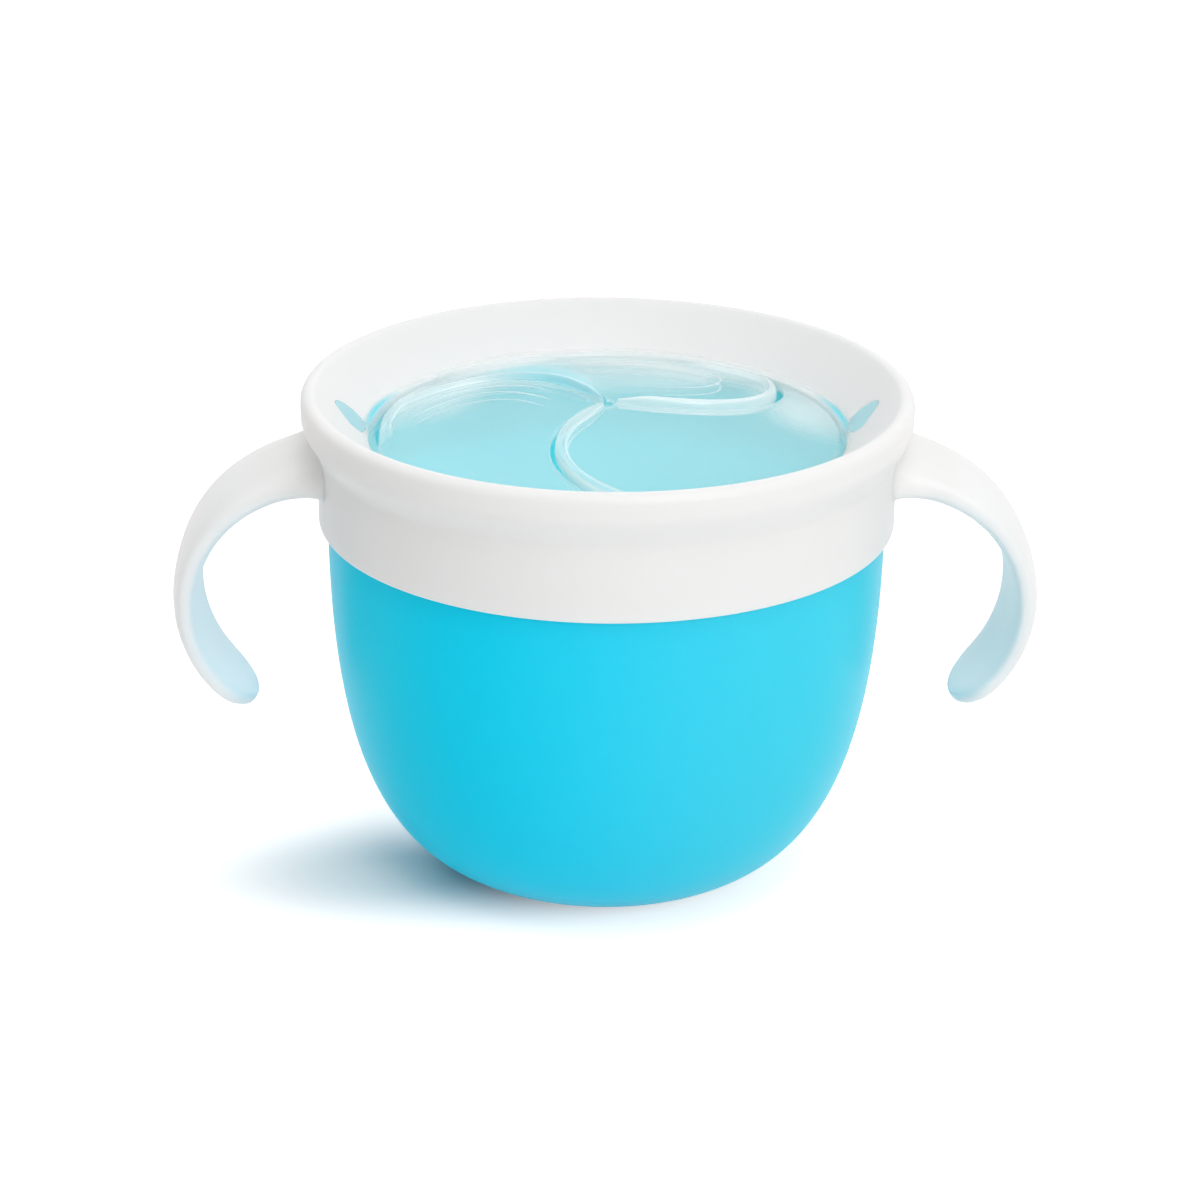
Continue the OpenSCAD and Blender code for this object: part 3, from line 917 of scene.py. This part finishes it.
def flap_marks(x, y, p, distance, free, follow, ridges, rib_haze, root_haze):
    """Haze and painted cup blue of a flap at a point: its web's own milkiness, a milkier rib, painted
    highlights along the rib's borders and on its ridges, and painted reflections over the pads.
    """
    haze_and_sheen, depth = pads(x, y)
    past_ridges = share_of((distance - RIDGE_PLACES[-1]) / PAST_RIDGES)
    past_hub = share_of((p - ROOT_HAZE_START) / ROOT_HAZE_RUN)
    haze_and_sheen += WEB_HAZE + root_haze * past_ridges * past_hub
    if free < RIB_W:
        haze_and_sheen = max(haze_and_sheen, rib_haze)
    # Painted highlights along the rib's borders and on the ridges.
    haze_and_sheen = max(haze_and_sheen, RIB_EDGE_GLINT * bell(free, 2 * RIB_BORDER))
    haze_and_sheen = max(haze_and_sheen, RIB_SIDE_GLINT * bell(free - RIB_W, 2 * RIB_BORDER))
    for place in ridges:
        haze_and_sheen = max(haze_and_sheen, RIDGE_GLINT * ridge_share(p, distance, place))
    haze_and_sheen = max(haze_and_sheen, ROOT_LIP_HAZE * bell(follow, 2 * ROOT_LIP_W))
    return haze_and_sheen, depth * min(1.0, free / RIB_W)


def flap_columns(width):
    """How much a narrow flap squeezes its lines of points, and their distances from its free edge."""
    near = [RIB_W * (i / RIB_LINES) ** RIB_CROWDING for i in range(RIB_LINES)]
    near += [RIB_W + RIB_BORDER * i / BORDER_LINES for i in range(BORDER_LINES + 1)]
    for place in RIDGE_PLACES:
        near += [place + RIDGE_W / 2 * k / RIDGE_LINES for k in range(-RIDGE_LINES, RIDGE_LINES + 1)]
    far = [ROOT_LIP_W * (i / LIP_LINES) ** LIP_CROWDING for i in range(LIP_LINES + 1)]
    fit = min(1.0, width / (near[-1] + far[-1] + WEB_LEAST))
    full = width / fit
    start, end = near[-1], full - far[-1]
    between = [start + (end - start) * i / WEB_LINES for i in range(1, WEB_LINES)]
    return fit, near + between + [full - d for d in reversed(far)]


def flap_grid(start, ridges, rib_haze, root_haze):
    """Rows of points of a flap's upper and lower face, from the hub to the rim, and their marks."""
    upper, lower, marks = [], [], []
    outward = [1 - (1 - i / FLAP_ROWS) ** ROW_CROWDING for i in range(FLAP_ROWS + 1)]
    rows = [HUB_SHARE + (1 - HUB_SHARE) * share for share in outward]
    for p in rows:
        lean = math.cos(math.atan(SLIT_POWER * slit_angle(p)))
        across = FLAP_R * p * lean
        inset = min(SLIT_GAP / 2 / across, INSET_MOST)
        width = (FLAP_STEP - 2 * inset) * across
        fit, distances = flap_columns(width)
        for distance in distances:
            local = slit_angle(p) + inset + distance * fit / across
            past_tail = share_of((local - SLIT_TURN - SLIT_TAIL) / TAIL_BLEND)
            rim_r = FLAP_R + RING_GRIP * past_tail - SLIT_GAP * (1 - past_tail)
            radius = rim_r * p
            to_rim = rim_r - radius + (FLAP_R if past_tail else 0)
            free = min(distance, to_rim)
            follow = min(width / fit - distance, radius - rim_r * rows[0])
            high, low = flap_faces(p, distance, free, follow, ridges)
            x, y = radius * math.cos(start + local), radius * math.sin(start + local)
            upper.append((x, y, high))
            lower.append((x, y, low))
            marks.append(flap_marks(x, y, p, distance, free, follow, ridges, rib_haze, root_haze))
    return upper, lower, marks


def shell_faces(rows, columns):
    """Faces of an upper grid of points, of the same grid below it, and of the wall between them."""
    count = rows * columns
    faces = []
    for k in range(rows - 1):
        for i in range(columns - 1):
            a = k * columns + i
            faces.append((a, a + 1, a + columns + 1, a + columns))
            faces.append((count + a, count + a + columns, count + a + columns + 1, count + a + 1))
    outline = list(range(columns)) + [k * columns + columns - 1 for k in range(1, rows)]
    outline += [count - 1 - i for i in range(1, columns)] + [k * columns for k in range(rows - 2, 0, -1)]
    for a, b in zip(outline, outline[1:] + outline[:1]):
        faces.append((a, count + a, count + b, b))
    return faces


def make_flap(name, node, index, rib_haze, root_haze=0.0, ridges=()):
    """One clear spiral flap with its root: a ribbed free edge, low ridges and a thin clear web."""
    first = FIRST_SLIT + index * FLAP_STEP
    upper, lower, marks = flap_grid(first, ridges, rib_haze, root_haze)
    rows = FLAP_ROWS + 1
    faces = shell_faces(rows, len(upper) // rows)
    values = {mark: [m[k] for m in marks] * 2 for k, mark in enumerate(("haze_and_sheen", "depth"))}
    flap = mesh_object(name, upper + lower, faces, CLEAR_MATERIAL, values)
    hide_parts(node)
    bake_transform(flap)


# ---- Floor, light and camera ----

def oval_distance(tree, place, narrow):
    """Distance from a place on the floor, counted that many times over along Y."""
    stretched = tree.nodes.new("ShaderNodeVectorMath")
    stretched.operation = "MULTIPLY"
    stretched.inputs[1].default_value = (1, narrow, 1)
    tree.links.new(object_place(tree), stretched.inputs[0])
    apart = tree.nodes.new("ShaderNodeVectorMath")
    apart.operation = "DISTANCE"
    apart.inputs[1].default_value = (place[0], place[1] * narrow, 0)
    tree.links.new(stretched.outputs["Vector"], apart.inputs[0])
    return apart.outputs["Value"]


def seen_rays(tree):
    """1 for rays that show the backdrop: straight, mirrored or through something clear."""
    path = tree.nodes.new("ShaderNodeLightPath")
    seen = math_node(tree, "MAXIMUM", path.outputs["Is Camera Ray"], path.outputs["Is Glossy Ray"])
    return math_node(tree, "MAXIMUM", seen, path.outputs["Is Transmission Ray"])


def make_floor():
    """White floor that fades into a white backdrop. A painted glow whitens it outside an oval of painted
    shadow at the cup's left front, where its rendered shadow stays; a share of the glow lights the cup from
    below as painted bounce.
    """
    signs = ((-1, -1), (1, -1), (1, 1), (-1, 1))
    floor = mesh_object("floor", [(x * FLOOR_HALF, y * FLOOR_HALF, 0) for x, y in signs], [(0, 1, 2, 3)])
    made, tree, shader = new_material("floor_white")
    shader.inputs["Base Color"].default_value = (0.85, 0.85, 0.85, 1)
    shader.inputs["Roughness"].default_value = 0.9
    shader.inputs["Specular IOR Level"].default_value = 0.0
    # Warm glow colour: painted light that offsets the cup's blue bounce on the floor.
    shader.inputs["Emission Color"].default_value = (1, 0.86, 0.81, 1)
    from_painted_shadow = oval_distance(tree, PAINTED_SHADOW_PLACE, PAINTED_SHADOW_NARROW)
    painted_light = faded(tree, from_painted_shadow, *PAINTED_SHADOW_FADE, 0.0, FLOOR_PAINTED_GLOW)
    seen = math_node(tree, "MAXIMUM", seen_rays(tree), FLOOR_PAINTED_BOUNCE)
    painted_glow = math_node(tree, "MULTIPLY", seen, painted_light)
    tree.links.new(painted_glow, shader.inputs["Emission Strength"])
    floor.data.materials.append(made)


def make_world():
    """White surround with the brighter backdrop behind the cup."""
    world = bpy.data.worlds.new("studio")
    bpy.context.scene.world = world
    world.use_nodes = True
    tree = world.node_tree
    background = tree.nodes["Background"]
    background.inputs["Color"].default_value = (1, 1, 1, 1)
    where = tree.nodes.new("ShaderNodeTexCoord")
    facing = tree.nodes.new("ShaderNodeVectorMath")
    facing.operation = "DOT_PRODUCT"
    tree.links.new(where.outputs["Generated"], facing.inputs[0])
    facing.inputs[1].default_value = BACKDROP_AIM
    around = faded(tree, facing.outputs["Value"], *BACKDROP_EDGE, *SURROUND)
    tree.links.new(math_node(tree, "MAXIMUM", around, seen_rays(tree)), background.inputs["Strength"])


def add_lamp(name, place, size, power):
    data = bpy.data.lights.new(name, "AREA")
    data.shape = "DISK"
    data.size = size
    data.energy = power
    lamp = new_object(name, data)
    lamp.location = place
    lamp.rotation_euler = (LAMP_AIM - Vector(place)).to_track_quat("-Z", "Y").to_euler()


def add_camera():
    """Long lens, 19 degrees above the rim, turned a little off the front."""
    distance = 0.5311
    rise = math.radians(19.15)
    off_front = math.radians(-1.861)
    pitch = math.radians(22.48)
    yaw = math.radians(-0.097)
    roll = math.radians(0.61)
    data = bpy.data.cameras.new("camera")
    data.lens = 105
    data.sensor_width = 36
    camera = new_object("camera", data)
    ahead = Vector((math.sin(yaw) * math.cos(pitch), math.cos(yaw) * math.cos(pitch), -math.sin(pitch)))
    right = ahead.cross(Vector((0, 0, 1))).normalized()
    up = right.cross(ahead)
    tilted_right = right * math.cos(roll) + up * math.sin(roll)
    tilted_up = up * math.cos(roll) - right * math.sin(roll)
    facing = Matrix((tilted_right, tilted_up, -ahead)).transposed().to_4x4()
    place = Matrix.Translation((0, -distance * math.cos(rise), distance * math.sin(rise)))
    swing = Matrix.Rotation(off_front, 4, "Z")
    lift = Matrix.Translation((0, 0, CREST_Z))
    camera.matrix_world = lift @ swing @ place @ facing
    bpy.context.scene.camera = camera


make_cup()
make_collar()
make_hook("hook_right", "right_handle", 1)
make_hook("hook_left", "left_handle", -1)
make_ring()
# The three flaps are one moulding: their different rib and root haze is painted light and reflection, not a
# difference in the material.
make_flap("spiral_flap_left", "flap_left", 0, rib_haze=0.35, ridges=RIDGE_PLACES)
make_flap("spiral_flap_right", "flap_right", 1, rib_haze=0.3)
make_flap("spiral_flap_back", "flap_back", 2, rib_haze=0.6, root_haze=0.15, ridges=RIDGE_PLACES[-1:])

make_floor()
make_world()
for lamp_settings in LAMPS:
    add_lamp(*lamp_settings)
add_camera()
bpy.context.scene.view_settings.view_transform = "Standard"
